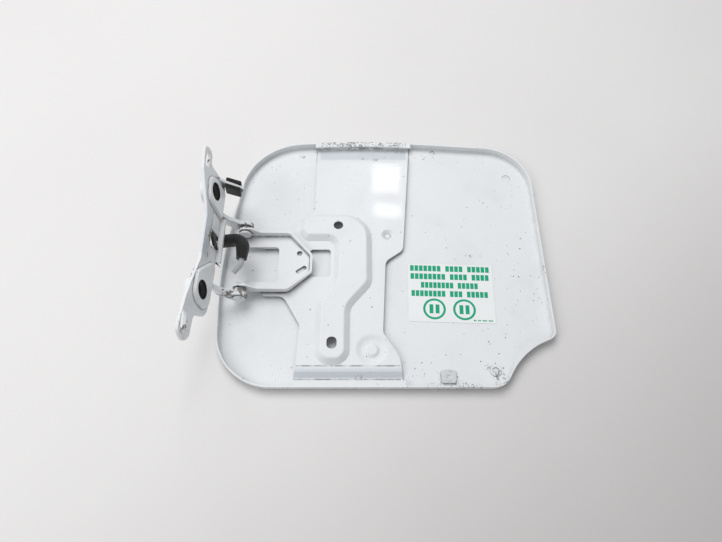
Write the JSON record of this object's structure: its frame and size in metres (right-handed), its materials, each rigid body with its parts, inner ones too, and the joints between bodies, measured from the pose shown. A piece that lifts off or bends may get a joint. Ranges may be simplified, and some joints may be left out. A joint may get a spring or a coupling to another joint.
{
  "type": "fuel filler flap",
  "caption": "Painted steel fuel filler flap of a car, opened, with a pressed inner plate, a forked hinge arm and the leaning hinge bracket that bolts it to the body.",
  "frame": {"origin": "middle of the flat outer face, on the floor the flap lies on", "axes": "+X from the hinge to the free edge, +Y along the hinge, +Z out of the inside of the flap"},
  "size_m": [0.1705, 0.142, 0.0444],
  "materials": {
    "white_paint": "gloss",
    "spring_steel": "satin",
    "black_rubber": "matte",
    "label_film": "satin",
    "pale_pad": "matte"
  },
  "bodies": {
    "flap": {"outer_skin": "white_paint", "reinforcement_plate": "white_paint", "hinge_arm": "white_paint", "fuel_label": "label_film", "edge_pad": "pale_pad"},
    "bracket": {"hinge_bracket": "white_paint", "upper_hinge_pin": "white_paint", "lower_hinge_pin": "white_paint", "return_spring": "spring_steel", "spring_sleeve": "black_rubber", "stop_buffer": "black_rubber"}
  },
  "joints": [
    {"name": "flap_hinge", "type": "hinge", "parent": "flap", "child": "bracket", "pos_m": [-0.071, 0, 0.0082], "axis": [0, 1, 0], "range_deg": [-25, 100]}
  ]
}
